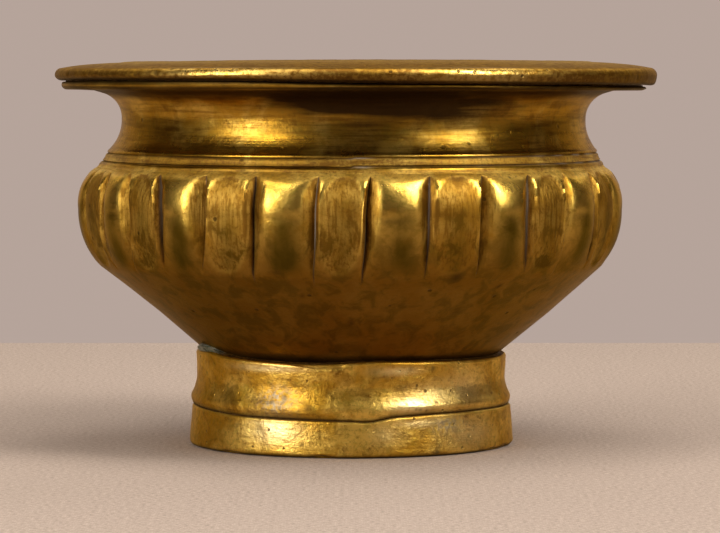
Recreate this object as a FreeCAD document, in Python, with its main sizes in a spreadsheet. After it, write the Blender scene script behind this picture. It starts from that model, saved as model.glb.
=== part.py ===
"""Shaving bowl: a cast brass bowl with a lobed belly, a ringed rim and a two-piece soldered foot.

Millimetres, +Z up. The origin is the centre of the base, on the surface the bowl stands on.
The front of the bowl faces -Y. Every piece is turned about Z, so each is a revolved outline.
"""
import FreeCAD, Part
import math
import os
import re

import Sketcher

SIZES = [
    # name, value, meaning
    ("bowl_height", 58.2, "base to the crown of the rim"),
    ("rim_diameter", 91.5, "outside of the bead on the rim ring"),
    ("throat_diameter", 70.7, "narrowest outside of the neck"),
    ("belly_diameter", 82.7, "outside of the lobed belly"),
    ("moulding_diameter", 75.2, "outside of the flat band between neck and belly"),
    ("foot_diameter", 47.0, "waist of the foot collar"),
    ("wall", 2.0, "wall of the neck"),
    ("belly_wall", 2.4, "wall of the belly at its widest, before the flutes are cut"),
    ("floor_wall", 2.2, "thickness of the bottom of the bowl"),
    ("cone_shift_in", 1.4, "inner face of the lower bowl, measured inwards from the outer"),
    ("cone_shift_up", 1.7, "the same, measured upwards"),
    ("joint_gap", 0.15, "solder film between two pieces that are laid together"),
    # the rim, measured down from the crown
    ("rim_thickness", 1.75, "crown of the ring to its underside at the mouth"),
    ("rim_fall", 1.45, "fall of the ring's underside from the mouth to the bead"),
    ("bead", 1.9, "height of the rounded bead round the ring"),
    ("crown_run", 1.9, "mouth to the crown of the ring"),
    ("crown_drop", 0.6, "rounding of the mouth's edge"),
    ("lip_inset", 1.35, "how far the flange's lip stays inside the bead"),
    ("lip_drop", 4.4, "crown to the flat underside of the flange"),
    ("film_inset", 0.4, "edge of the solder film inside the edges of its joint"),
    # the neck and the belly, measured down from the crown
    ("flare_reach", 4.25, "throat to where the flare meets the flat of the flange"),
    ("throat_drop", 8.7, "crown to the throat"),
    ("neck_drop", 13.5, "crown to the foot of the neck"),
    ("neck_step", 0.4, "band standing proud of the foot of the neck"),
    ("chase_width", 0.5, "width of each chased line beside the band"),
    ("chase_depth", 0.3, "depth of each chased line"),
    ("band_width", 1.1, "width of the flat band"),
    ("shoulder_drop", 16.6, "crown to the top of the lobes"),
    ("shoulder_step", 1.3, "top of the lobes standing proud of the band"),
    ("belly_drop", 22.2, "crown to the widest part of the belly"),
    ("tuck_drop", 32.1, "crown to where the belly runs into the straight cone"),
    ("belly_tuck", 4.35, "belly's widest radius to its radius there"),
    # the flutes cut between the lobes
    ("flute_count", 30, "flutes round the belly"),
    ("flute_phase", 4.2, "turn of the first flute from the front, degrees"),
    ("flute_depth", 1.1, "depth at the middle of a flute"),
    ("flute_arc", 15.9, "radius of the arc along the bottom of a flute"),
    ("flute_lift", -1.5, "middle of a flute above the widest level"),
    ("flute_sweep", 56.0, "angle of that arc, degrees"),
    ("flute_flank", 1.75, "half width of the cutter for each unit of its depth"),
    ("flute_clear", 1.0, "cutter standing outside the belly"),
    # the foot, measured up from the base
    ("collar_top", 14.0, "top edge of the collar"),
    ("band_top", 5.7, "top edge of the foot band"),
    ("collar_wall", 1.0, "wall of the collar"),
    ("band_wall", 1.25, "wall of the foot band"),
    ("collar_swell", 0.85, "swell of the collar above its lower edge"),
    ("swell_rise", 1.2, "lower edge of the collar to the swell"),
    ("waist_rise", 4.4, "lower edge of the collar to the waist"),
    ("collar_lip", 0.65, "lower edge of the collar standing proud of the waist"),
    ("base_spread", 1.05, "base of the foot band standing outside the waist"),
    ("band_draw", 0.15, "upper edge of the foot band standing inside its base"),
    ("edge_round", 0.45, "rounding of the foot band's outer edges"),
    ("seat_out", 0.5, "top of the solder fillet outside the waist"),
    ("seat_up", 1.45, "top of the solder fillet above the collar"),
    ("seat_in", 1.9, "inner end of the solder fillet inside the waist"),
    ("seat_down", 0.55, "inner end of the solder fillet below the collar"),
    ("fillet_down", 1.1, "solder running down inside the collar"),
    ("fillet_back", 0.15, "solder standing back from the collar's outer edge"),
    ("under_reach", 8.0, "waist to the edge of the flat underside of the bowl"),
    ("under_drop", 3.0, "collar's top edge to the flat underside of the bowl"),
]

doc = FreeCAD.newDocument("shaving_bowl")
sheet = doc.addObject("Spreadsheet::Sheet", "sizes")
for row, (name, value, meaning) in enumerate(SIZES, start=1):
    sheet.set(f"A{row}", name)
    sheet.set(f"B{row}", str(value))
    sheet.set(f"C{row}", meaning)
    sheet.setAlias(f"B{row}", name)
doc.recompute()


def bound(text):
    """The expression that reads the names in text from the sheet."""
    return re.sub(r"[a-z][a-z_]+", lambda word: "sizes." + word.group(0), text)


def number(text):
    """The value that text has now, to place geometry near where its sizes hold it."""
    return float(sheet.evalExpression(text))


def origin_part(body, role):
    return next(part for part in body.Origin.OriginFeatures if part.Role == role)


def new_sketch(body, name, plane):
    sketch = body.newObject("Sketcher::SketchObject", name)
    sketch.AttachmentSupport = [(origin_part(body, plane), "")]
    sketch.MapMode = "FlatFace"
    return sketch


def hold(sketch, element, vertex, across, up):
    """Hold one vertex of a sketch at two sizes from the sheet, measured from the origin."""
    if across == "0":
        sketch.addConstraint(Sketcher.Constraint("PointOnObject", element, vertex, -2))
    else:
        place = sketch.addConstraint(
            Sketcher.Constraint("DistanceX", -1, 1, element, vertex, number(across)))
        sketch.setExpression(f"Constraints[{place}]", bound(across))
    hold_level(sketch, element, vertex, up)


def hold_level(sketch, element, vertex, up):
    if up == "0":
        sketch.addConstraint(Sketcher.Constraint("PointOnObject", element, vertex, -1))
        return
    place = sketch.addConstraint(Sketcher.Constraint("DistanceY", -1, 1, element, vertex, number(up)))
    sketch.setExpression(f"Constraints[{place}]", bound(up))


def arc_centre(start, end, rule):
    """Centre of the arc from start to end: level with, or plumb with, the end that rule names."""
    side, at = rule.split("_")
    (r0, z0), (r1, z1) = start, end
    if side == "level":
        z = z0 if at == "start" else z1
        r = ((r1 ** 2 - r0 ** 2) + (z1 - z) ** 2 - (z0 - z) ** 2) / (2 * (r1 - r0))
    else:
        r = r0 if at == "start" else r1
        z = ((z1 ** 2 - z0 ** 2) + (r1 - r) ** 2 - (r0 - r) ** 2) / (2 * (z1 - z0))
    return FreeCAD.Vector(r, z, 0)


def short_arc(start, end, centre):
    """The shorter arc from start to end, made counter-clockwise, and whether that flipped its ends."""
    a, b = FreeCAD.Vector(*start, 0), FreeCAD.Vector(*end, 0)
    flipped = (a - centre).cross(b - centre).z < 0
    first, last = (b, a) if flipped else (a, b)
    circle = Part.Circle(centre, FreeCAD.Vector(0, 0, 1), (a - centre).Length)
    begin = circle.parameter(first)
    sweep = (circle.parameter(last) - begin) % math.tau
    return Part.ArcOfCircle(circle, begin, begin + sweep), flipped


def turned(body, name, corners):
    """Revolve a closed outline about Z.

    Each corner is (radius, level, edge): edge says how the outline goes on to the next corner,
    "line", or an arc whose centre is level or plumb with its start or its end.
    """
    sketch = new_sketch(body, name + "_outline", "XZ_Plane")
    places = [(number(across), number(up)) for across, up, edge in corners]
    flips = []
    for index, (across, up, edge) in enumerate(corners):
        start, end = places[index], places[(index + 1) % len(places)]
        if edge == "line":
            sketch.addGeometry(Part.LineSegment(FreeCAD.Vector(*start, 0), FreeCAD.Vector(*end, 0)))
            flips.append(False)
        else:
            arc, flipped = short_arc(start, end, arc_centre(start, end, edge))
            sketch.addGeometry(arc)
            flips.append(flipped)
    for index, (across, up, edge) in enumerate(corners):
        after = (index + 1) % len(corners)
        tail, head = (1 if flips[index] else 2), (2 if flips[after] else 1)
        sketch.addConstraint(Sketcher.Constraint("Coincident", index, tail, after, head))
        hold(sketch, index, 2 if flips[index] else 1, across, up)
    for index, (across, up, edge) in enumerate(corners):
        if edge == "line":
            continue
        side, at = edge.split("_")
        across, up = (across, up) if at == "start" else corners[(index + 1) % len(corners)][:2]
        if side == "level":
            hold_level(sketch, index, 3, up)
        else:
            place = sketch.addConstraint(
                Sketcher.Constraint("DistanceX", -1, 1, index, 3, number(across)))
            sketch.setExpression(f"Constraints[{place}]", bound(across))
    revolution = body.newObject("PartDesign::Revolution", name)
    revolution.Profile = sketch
    revolution.ReferenceAxis = (sketch, ["V_Axis"])
    revolution.Angle = 360
    body.Tip = revolution
    return revolution


def new_body(node):
    body = doc.addObject("PartDesign::Body", node)
    body.Label = node
    return body


# Places that two or more pieces share.
MOUTH = "throat_diameter / 2 - wall"
BEAD_ROOT = "rim_diameter / 2 - bead / 2"
LIP = "rim_diameter / 2 - lip_inset"
WAIST = "foot_diameter / 2"
COLLAR_BOTTOM = "band_top + joint_gap"
BASE = f"{WAIST} + base_spread"
BAND_INSIDE = f"{BASE} - band_wall"


def under_ring(radius):
    """Level of the rim ring's sloping underside at a radius."""
    run = f"({radius} - ({MOUTH})) / ({BEAD_ROOT} - ({MOUTH}))"
    return f"bowl_height - rim_thickness - rim_fall * {run}"


def bowl_shell():
    """The cast bowl: flange, neck, chased band, lobed belly, cone and floor."""
    body = new_body("bowl_shell")
    neck = "moulding_diameter / 2 - neck_step"
    band = "moulding_diameter / 2"
    chase_level = "bowl_height - neck_drop - chase_width"
    lower_level = f"{chase_level} - band_width"
    shoulder = "moulding_diameter / 2 + shoulder_step"
    tuck = "belly_diameter / 2 - belly_tuck"
    tuck_level = "bowl_height - tuck_drop"
    under_level = "collar_top - under_drop"
    under_edge = f"{WAIST} - under_reach"
    outline = [
        ("0", under_level, "line"),
        (under_edge, under_level, "plumb_start"),
        (f"{WAIST} - seat_in", "collar_top - seat_down", "line"),
        (f"{WAIST} + seat_out", "collar_top + seat_up", "line"),
        (tuck, tuck_level, "level_end"),
        ("belly_diameter / 2", "bowl_height - belly_drop", "level_start"),
        (shoulder, "bowl_height - shoulder_drop", "line"),
        (f"{band} + neck_step", f"{lower_level} - chase_width", "line"),
        (f"{band} - chase_depth", f"{lower_level} - chase_width / 2", "line"),
        (band, lower_level, "line"),
        (band, chase_level, "line"),
        (f"{neck} - chase_depth", f"{chase_level} + chase_width / 2", "line"),
        (neck, "bowl_height - neck_drop", "level_end"),
        ("throat_diameter / 2", "bowl_height - throat_drop", "level_start"),
        ("throat_diameter / 2 + flare_reach", "bowl_height - lip_drop", "line"),
        (LIP, "bowl_height - lip_drop", "line"),
        (LIP, f"{under_ring(LIP)} - joint_gap", "line"),
        (MOUTH, "bowl_height - rim_thickness - joint_gap", "line"),
        (MOUTH, "bowl_height - throat_drop", "level_start"),
        (f"{neck} - wall", "bowl_height - neck_drop", "line"),
        (f"{shoulder} - belly_wall", "bowl_height - shoulder_drop", "level_end"),
        ("belly_diameter / 2 - belly_wall", "bowl_height - belly_drop", "level_start"),
        (f"{tuck} - cone_shift_in", f"{tuck_level} + cone_shift_up", "line"),
        (f"{WAIST} - seat_in - cone_shift_in", "collar_top - seat_down + cone_shift_up", "plumb_end"),
        (f"{under_edge} - cone_shift_in", f"{under_level} + floor_wall", "line"),
        ("0", f"{under_level} + floor_wall", "line"),
    ]
    turned(body, "bowl_casting", outline)
    doc.recompute()
    solid = body.Shape.Volume
    cut_flutes(body)
    doc.recompute()
    if not 0.9 * solid < body.Shape.Volume < 0.999 * solid:
        raise RuntimeError("the flutes did not cut into the belly")
    return body


def cut_flutes(body):
    """V-shaped flutes: a triangle swung down the belly about a level axis, and repeated round it."""
    sketch = new_sketch(body, "flute_section", "XY_Plane")
    sketch.setExpression("AttachmentOffset.Base.z", bound("bowl_height - belly_drop + flute_lift"))
    sketch.setExpression("AttachmentOffset.Rotation.Angle", bound("flute_phase - 90"))
    root = "belly_diameter / 2 - flute_depth"
    mouth = "belly_diameter / 2 + flute_clear"
    half = "(flute_depth + flute_clear) * flute_flank"
    pivot = f"{root} - flute_arc"
    corners = [(root, "0"), (mouth, f"0 - {half}"), (mouth, half)]
    places = [FreeCAD.Vector(number(across), number(up), 0) for across, up in corners]
    for index in range(3):
        sketch.addGeometry(Part.LineSegment(places[index], places[(index + 1) % 3]))
    for index in range(3):
        sketch.addConstraint(Sketcher.Constraint("Coincident", index, 2, (index + 1) % 3, 1))
        hold(sketch, index, 1, *corners[index])
    low, high = FreeCAD.Vector(number(pivot), 0, 0), FreeCAD.Vector(number(pivot), number(half), 0)
    hinge = sketch.addGeometry(Part.LineSegment(low, high), True)
    hold(sketch, hinge, 1, pivot, "0")
    hold(sketch, hinge, 2, pivot, half)
    flute = body.newObject("PartDesign::Groove", "flute")
    flute.Profile = sketch
    flute.ReferenceAxis = (sketch, ["Axis0"])
    flute.Midplane = True
    flute.setExpression("Angle", bound("flute_sweep"))
    body.Tip = flute
    doc.recompute()
    pattern = body.newObject("PartDesign::PolarPattern", "flutes")
    pattern.Originals = [flute]
    pattern.Axis = (origin_part(body, "Z_Axis"), [""])
    pattern.Angle = 360
    pattern.setExpression("Occurrences", bound("flute_count"))
    body.Tip = pattern


def rim_ring():
    """The domed ring laid on the flange, with a round bead that overhangs the flange's lip."""
    body = new_body("rim_ring")
    root_level = "bowl_height - rim_thickness - rim_fall"
    turned(body, "ring", [
        (MOUTH, "bowl_height - rim_thickness", "line"),
        (BEAD_ROOT, root_level, "level_end"),
        ("rim_diameter / 2", f"{root_level} + bead / 2", "level_start"),
        (BEAD_ROOT, f"{root_level} + bead", "line"),
        (f"{MOUTH} + crown_run", "bowl_height", "plumb_start"),
        (MOUTH, "bowl_height - crown_drop", "line"),
    ])
    return body


def rim_solder():
    """The film of solder that fills the joint between the flange and the ring."""
    body = new_body("rim_solder")
    inner, outer = f"{MOUTH} + film_inset", f"{LIP} - film_inset"
    turned(body, "rim_film", [
        (inner, f"{under_ring(inner)} - joint_gap", "line"),
        (outer, f"{under_ring(outer)} - joint_gap", "line"),
        (outer, under_ring(outer), "line"),
        (inner, under_ring(inner), "line"),
    ])
    return body


def foot_collar():
    """The waisted upper hoop of the foot, of even sheet, that the bowl is seated in."""
    body = new_body("foot_collar")
    lip, swell = f"{WAIST} + collar_lip", f"{WAIST} + collar_swell"
    swell_level, waist_level = f"{COLLAR_BOTTOM} + swell_rise", f"{COLLAR_BOTTOM} + waist_rise"
    turned(body, "collar", [
        (f"{lip} - collar_wall", COLLAR_BOTTOM, "line"),
        (lip, COLLAR_BOTTOM, "level_end"),
        (swell, swell_level, "level_start"),
        (WAIST, waist_level, "line"),
        (WAIST, "collar_top", "line"),
        (f"{WAIST} - collar_wall", "collar_top", "line"),
        (f"{WAIST} - collar_wall", waist_level, "level_end"),
        (f"{swell} - collar_wall", swell_level, "line"),
    ])
    return body


def foot_solder():
    """The fillet of solder in the wedge between the cone of the bowl and the collar."""
    body = new_body("foot_solder")
    inside = f"{WAIST} - collar_wall"
    turned(body, "foot_fillet", [
        (f"{WAIST} + seat_out", "collar_top + seat_up", "line"),
        (f"{WAIST} - seat_in", "collar_top - seat_down", "line"),
        (inside, "collar_top - fillet_down", "line"),
        (inside, "collar_top", "line"),
        (f"{WAIST} - fillet_back", "collar_top", "line"),
    ])
    return body


def foot_band():
    """The plain lower hoop of the foot, which the bowl stands on."""
    body = new_body("foot_band")
    top = f"{BASE} - band_draw"
    turned(body, "hoop", [
        (BAND_INSIDE, "0", "line"),
        (f"{BASE} - edge_round", "0", "plumb_start"),
        (BASE, "edge_round", "line"),
        (top, "band_top - edge_round", "level_start"),
        (f"{top} - edge_round", "band_top", "line"),
        (BAND_INSIDE, "band_top", "line"),
    ])
    return body


def band_solder():
    """The film of solder in the butt joint between the collar and the band."""
    body = new_body("band_solder")
    outer = f"{BASE} - band_draw - edge_round"
    turned(body, "band_film", [
        (BAND_INSIDE, "band_top", "line"),
        (outer, "band_top", "line"),
        (outer, COLLAR_BOTTOM, "line"),
        (BAND_INSIDE, COLLAR_BOTTOM, "line"),
    ])
    return body


pieces = [bowl_shell(), rim_ring(), rim_solder(), foot_collar(), foot_solder(), foot_band(), band_solder()]
doc.recompute()

for item in doc.Objects:
    if "Invalid" in item.State or "Error" in item.State:
        raise RuntimeError(f"{item.Label} failed: {item.State}")
for piece in pieces:
    shape = piece.Shape
    if shape.isNull() or not shape.isValid() or len(shape.Solids) != 1:
        raise RuntimeError(f"{piece.Label} is not one valid solid")

os.makedirs("parts", exist_ok=True)
for piece in pieces:
    piece.Shape.exportStep(f"parts/{piece.Label}.step")
    box = piece.Shape.optimalBoundingBox()
    print(f"{piece.Label:12s} volume {piece.Shape.Volume:9.1f}  diameter {box.XLength:6.2f}"
          f"  levels {box.ZMin:6.2f} to {box.ZMax:6.2f}")
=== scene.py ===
"""Shaving bowl: an old brass bowl, cast, turned and filed by hand, on a soldered two-piece foot.

Run as a script. It turns each piece from an outline, works the hand-made unevenness into its mesh,
gives it a procedural material and sets it on a small studio table.
Outlines are in millimetres, as (radius, level). A turn is in degrees round the bowl from its front,
which faces -Y, and grows towards +X.
"""
import math

import bpy
import numpy as np
from bpy.props import FloatProperty, FloatVectorProperty, PointerProperty
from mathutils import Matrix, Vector, noise


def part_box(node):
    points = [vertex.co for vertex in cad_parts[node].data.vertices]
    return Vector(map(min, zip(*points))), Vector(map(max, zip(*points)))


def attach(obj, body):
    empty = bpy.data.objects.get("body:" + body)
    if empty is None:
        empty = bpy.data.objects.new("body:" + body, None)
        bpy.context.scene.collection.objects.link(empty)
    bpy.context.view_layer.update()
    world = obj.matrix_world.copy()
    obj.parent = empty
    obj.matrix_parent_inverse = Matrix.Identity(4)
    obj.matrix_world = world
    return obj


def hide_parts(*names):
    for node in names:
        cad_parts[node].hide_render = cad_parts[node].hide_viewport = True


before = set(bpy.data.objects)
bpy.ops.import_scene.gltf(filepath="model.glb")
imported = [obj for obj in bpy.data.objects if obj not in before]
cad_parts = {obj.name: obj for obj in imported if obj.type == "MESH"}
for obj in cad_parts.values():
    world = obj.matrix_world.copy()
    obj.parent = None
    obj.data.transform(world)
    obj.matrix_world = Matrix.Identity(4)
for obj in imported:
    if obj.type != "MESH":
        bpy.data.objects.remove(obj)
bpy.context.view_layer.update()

bl_info = {
    "name": "Shaving Bowl",
    "version": (1, 0, 0),
    "blender": (4, 5, 0),
    "location": "3D View > Sidebar > Bowl",
    "description": "Builds an old brass shaving bowl with a filed belly and a soldered foot",
    "category": "Object",
}

MM = 0.001
RIM_HIGH, SHELL_HIGH, COLLAR_HIGH, BAND_HIGH = (
    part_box(node)[1] for node in ("rim_ring", "bowl_shell", "foot_collar", "foot_band"))

FLUTES = 30
PITCH = 360 / FLUTES
COLUMNS_PER_FLUTE = 18
COLUMNS = FLUTES * COLUMNS_PER_FLUTE
LATTICE_SIZE = 61
WELD = 0.002 * MM
SMOOTH_ANGLE = math.radians(48)

# In mm: the mouth, the chased lines' levels, how far the collar's waist is drawn in from its swell,
# and the levels at which the wandering seams and edges are drawn before they are moved.
MOUTH_RADIUS = 33.35
LOW_LINE, HIGH_LINE = 43.16, 44.34
WAIST_INSET = 0.85
SEAM_DESIGN, LIP_DESIGN = 55.2, 53.75
COLLAR_DESIGN, HOOP_SEAM_DESIGN = 14.0, 5.85


# ---------------------------------------------------------------- settings

def length(name, text, default):
    return FloatProperty(name=name, description=text, default=default, min=0.0,
                         unit="LENGTH", subtype="DISTANCE", precision=4)


def colour(name, text, default):
    return FloatVectorProperty(name=name, description=text, default=default, size=3,
                               min=0.0, max=1.0, subtype="COLOR")


class BowlSizes(bpy.types.PropertyGroup):
    """Sizes of the bowl, taken from its frame."""
    rim_radius: length("Rim radius", "Outside of the bead round the rim", RIM_HIGH.x)
    rim_level: length("Rim level", "Crown of the rim above the table", RIM_HIGH.z)
    lip_radius: length("Lip radius", "Outside of the flange under the rim ring", SHELL_HIGH.x)
    collar_level: length("Collar level", "Upper edge of the foot collar", COLLAR_HIGH.z)
    collar_radius: length("Collar radius", "Outside of the collar's swell", COLLAR_HIGH.x)
    band_level: length("Band level", "Upper edge of the foot band", BAND_HIGH.z)
    band_radius: length("Band radius", "Outside of the foot band", BAND_HIGH.x)
    flute_depth: length("Flute depth", "Deepest part of the filed flutes", 0.00105)
    lean: length("Lean", "How far the rim has shifted to one side of the foot", 0.0008)


class BowlColours(bpy.types.PropertyGroup):
    """Colours of the metals and their tarnish, and of the painted shade and highlights laid on them."""
    brass: colour("Brass", "Metal rubbed bright", (0.83, 0.53, 0.10))
    # Bright brass is a painted highlight, laid where the lights' reflections fall on the bead and the foot.
    bright: colour("Rubbed brass", "Metal where hands keep it clean", (0.95, 0.74, 0.34))
    worn: colour("Worn brass", "Metal dulled by handling", (0.53, 0.28, 0.025))
    olive: colour("Olive film", "Thin greenish film on the brass", (0.36, 0.25, 0.03))
    # Brown also carries part of the painted shade on the vessel's underside and on the solder fillet.
    brown: colour("Brown tarnish", "Brown film in the filed cuts", (0.205, 0.092, 0.010))
    # This olive colour is painted shade: a painted dark reflection down the middle of the lobes, and shade
    # on the underside.
    shade: colour("Olive tarnish", "Dark greenish film in the middle of the lobes", (0.075, 0.048, 0.004))
    # Dark also carries the painted shade on the upper neck, under the flange, on the lip, where the cone
    # meets the collar, on the bead's lower half and along the band's foot.
    dark: colour("Dark tarnish", "Dirt in grooves and pits", (0.022, 0.010, 0.003))
    chalk: colour("Dried polish", "Pale polish left dry in the deepest cuts", (0.36, 0.31, 0.26))
    solder: colour("Solder", "Soft solder, dull and grey", (0.33, 0.34, 0.28))
    verdigris: colour("Verdigris", "Green corrosion beside the solder", (0.09, 0.15, 0.10))


class StageSettings(bpy.types.PropertyGroup):
    """The table, the room and the lights."""
    cloth: colour("Cloth", "Colour of the table cloth", (0.43, 0.33, 0.265))
    wall: colour("Wall", "Colour of the room behind the table", (0.465, 0.37, 0.325))
    key_power: FloatProperty(name="Key power", description="Power of each front softbox, in watts",
                             default=7.2, min=0.0)
    fill: FloatProperty(name="Fill", description="Strength of the light that the room gives back",
                        default=1.0, min=0.0)


# ---------------------------------------------------------------- outlines and turning

class Outline:
    """Points of an outline, drawn stretch by stretch, and the part of the piece each belongs to."""

    def __init__(self, radius, level, part):
        self.points = [(radius, level)]
        self.parts = [part]

    def line(self, radius, level, part, step=1.0):
        start, end = Vector(self.points[-1]), Vector((radius, level))
        count = max(1, round((end - start).length / step))
        for index in range(1, count + 1):
            self.points.append(tuple(start.lerp(end, index / count)))
            self.parts.append(part)

    def arc(self, via, end, part, step=0.5):
        """An arc from the last point through via to end."""
        a, b, c = (complex(*point) for point in (self.points[-1], via, end))
        w = (c - a) / (b - a)
        centre = (b - a) * (w - abs(w) ** 2) / (2j * w.imag) + a
        first = math.atan2((a - centre).imag, (a - centre).real)
        turn = [math.atan2(((p - centre) / (a - centre)).imag, ((p - centre) / (a - centre)).real)
                for p in (b, c)]
        middle, sweep = (t % math.tau for t in turn)
        if middle > sweep:
            sweep -= math.tau
        count = max(2, round(abs(sweep) * abs(a - centre) / step))
        for index in range(1, count + 1):
            point = centre + abs(a - centre) * np.exp(1j * (first + sweep * index / count))
            self.points.append((point.real, point.imag))
            self.parts.append(part)


def open_between(mesh, first, last):
    """Delete the edge that joins two vertices of the active piece."""
    bpy.ops.object.mode_set(mode="EDIT")
    bpy.ops.mesh.select_all(action="DESELECT")
    bpy.ops.object.mode_set(mode="OBJECT")
    for index in (first, last):
        mesh.vertices[index].select = True
    for edge in mesh.edges:
        edge.select = set(edge.vertices) == {first, last}
    bpy.ops.object.mode_set(mode="EDIT")
    bpy.ops.mesh.delete(type="EDGE")
    bpy.ops.object.mode_set(mode="OBJECT")


def spin_outline(name, outline, columns=COLUMNS, closed=True):
    """Lay a ring of vertices along the outline and spin it once round Z."""
    bpy.ops.object.select_all(action="DESELECT")
    bpy.ops.mesh.primitive_circle_add(vertices=len(outline.points), radius=RIM_HIGH.x)
    piece = bpy.context.object
    piece.name = piece.data.name = name
    mesh = piece.data
    places = [(radius * MM, 0.0, level * MM) for radius, level in outline.points]
    mesh.vertices.foreach_set("co", np.array(places).ravel())
    row = mesh.attributes.new("row", "INT", "POINT")
    row.data.foreach_set("value", np.arange(len(places), dtype=np.int32))
    if not closed:
        open_between(mesh, 0, len(places) - 1)
    bpy.ops.object.mode_set(mode="EDIT")
    bpy.ops.mesh.select_all(action="SELECT")
    bpy.ops.mesh.spin(steps=columns, angle=math.tau, center=(0, 0, 0), axis=(0, 0, 1))
    bpy.ops.mesh.select_all(action="SELECT")
    bpy.ops.mesh.remove_doubles(threshold=WELD)
    bpy.ops.mesh.normals_make_consistent(inside=False)
    bpy.ops.object.mode_set(mode="OBJECT")
    return piece


class Turned:
    """The vertices of a turned piece as arrays, so that hand work can be put on them."""

    def __init__(self, piece, outline):
        self.piece, mesh = piece, piece.data
        count = len(mesh.vertices)
        co = np.empty(count * 3)
        mesh.vertices.foreach_get("co", co)
        x, y, z = co.reshape(-1, 3).T / MM
        row = np.empty(count, dtype=np.int32)
        mesh.attributes["row"].data.foreach_get("value", row)
        self.radius, self.level = np.hypot(x, y), z.copy()
        self.turn = np.degrees(np.arctan2(x, -y))
        self.part = np.array(outline.parts)[row]
        self.shift_x = np.zeros(count)
        self.count = count

    def place(self):
        """Write the worked shape back to the mesh and smooth its shading."""
        angle = np.radians(self.turn)
        x = self.radius * np.sin(angle) + self.shift_x
        y = -self.radius * np.cos(angle)
        co = np.stack([x, y, self.level], axis=1) * MM
        self.piece.data.vertices.foreach_set("co", co.ravel())
        self.piece.data.attributes.remove(self.piece.data.attributes["row"])
        self.piece.data.update()
        bpy.ops.object.select_all(action="DESELECT")
        self.piece.select_set(True)
        bpy.context.view_layer.objects.active = self.piece
        bpy.ops.object.shade_smooth_by_angle(angle=SMOOTH_ANGLE)

    def paint(self, name, values):
        """Keep a value for each vertex, for the material to read."""
        layer = self.piece.data.attributes.new(name, "FLOAT", "POINT")
        layer.data.foreach_set("value", np.clip(values, 0, 1).astype(np.float32))

    def roughen(self, amount, size, seed, squash=1.0):
        """A smooth random height for each vertex: amount in mm, over bumps about size mm wide."""
        angle = np.radians(self.turn)
        x, y = self.radius * np.sin(angle) / size, -self.radius * np.cos(angle) / size
        z = self.level / (size * squash) + 31.7 * seed
        return amount * lattice_noise(x, y, z)


LATTICE = np.random.default_rng(3).uniform(-1, 1, (LATTICE_SIZE,) * 3)


def lattice_noise(*coordinates):
    """Smooth noise between -1 and 1: random heights on a lattice, blended in between."""
    cells = [np.floor(value).astype(int) for value in coordinates]
    shares = [smoothstep(0, 1, value - cell) for value, cell in zip(coordinates, cells)]
    total = 0
    for corner in np.ndindex(2, 2, 2):
        weight = 1
        for share, side in zip(shares, corner):
            weight = weight * (share if side else 1 - share)
        at = tuple((cell + side) % LATTICE_SIZE for cell, side in zip(cells, corner))
        total = total + weight * LATTICE[at]
    return total


def smoothstep(low, high, value):
    t = np.clip((value - low) / (high - low), 0, 1)
    return t * t * (3 - 2 * t)


def bump_at(turn, level, at_turn, at_level, wide, tall, radius=24.0):
    """A soft spot, 1 at its middle: wide and tall in mm."""
    across = ((turn - at_turn + 180) % 360 - 180) * math.pi / 180 * radius
    return np.exp(-(across / wide) ** 2 - ((level - at_level) / tall) ** 2)


def round_the_edge(turn, marks):
    """A level for each turn, through marks of (turn, level) set round an edge."""
    turns, levels = zip(*marks)
    turns = [turns[-1] - 360, *turns, turns[0] + 360]
    levels = [levels[-1], *levels, levels[0]]
    fine = np.arange(-180, 180, 1.0)
    values = np.interp(fine, turns, levels)
    kernel = np.hanning(9) / np.hanning(9).sum()
    values = np.convolve(np.concatenate([values[-4:], values, values[:4]]), kernel, "valid")
    return np.interp(turn, np.append(fine, 180), np.append(values, values[0]))


# ---------------------------------------------------------------- the filed belly

FLUTE_TOP, FLUTE_MIDDLE = 41.7, 35.0
# Depth of the flat panels, and width and depth of the slot along a flute's bottom, in mm.
PANEL_DEPTH, SLOT_WIDTH, SLOT_DEPTH = 0.34, 0.17, 0.13
# Flutes round the front: number, turn at the top, middle and foot, level of the foot,
# width of the left and the right flank in mm, and depth as a share of the full depth.
FRONT_FLUTES = [
    (9, -64.5, -64.0, -64.5, 27.5, 0.9, 1.7, 1.0),
    (10, -55.0, -52.6, -54.5, 28.0, 1.8, 1.1, 1.1),
    (11, -44.6, -42.8, -44.0, 28.6, 0.8, 1.8, 0.9),
    (12, -31.8, -31.0, -33.0, 28.2, 2.6, 0.9, 1.0),
    (13, -20.0, -20.2, -21.7, 26.2, 1.2, 1.9, 1.15),
    (14, -6.5, -7.0, -8.3, 25.9, 2.3, 0.6, 0.85),
    (15, 4.3, 3.3, 2.3, 26.0, 0.6, 1.9, 1.0),
    (16, 16.8, 16.2, 16.2, 26.8, 1.8, 1.2, 1.0),
    (17, 28.8, 27.6, 28.3, 27.4, 0.7, 1.9, 1.0),
    (18, 41.0, 39.4, 41.0, 27.5, 1.7, 0.9, 1.1),
    (19, 52.0, 50.2, 50.5, 30.0, 0.8, 1.3, 0.75),
    (20, 63.5, 62.7, 64.0, 28.0, 1.6, 1.0, 1.0),
    (21, 74.0, 73.4, 74.0, 28.4, 0.9, 1.7, 0.9),
]


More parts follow.
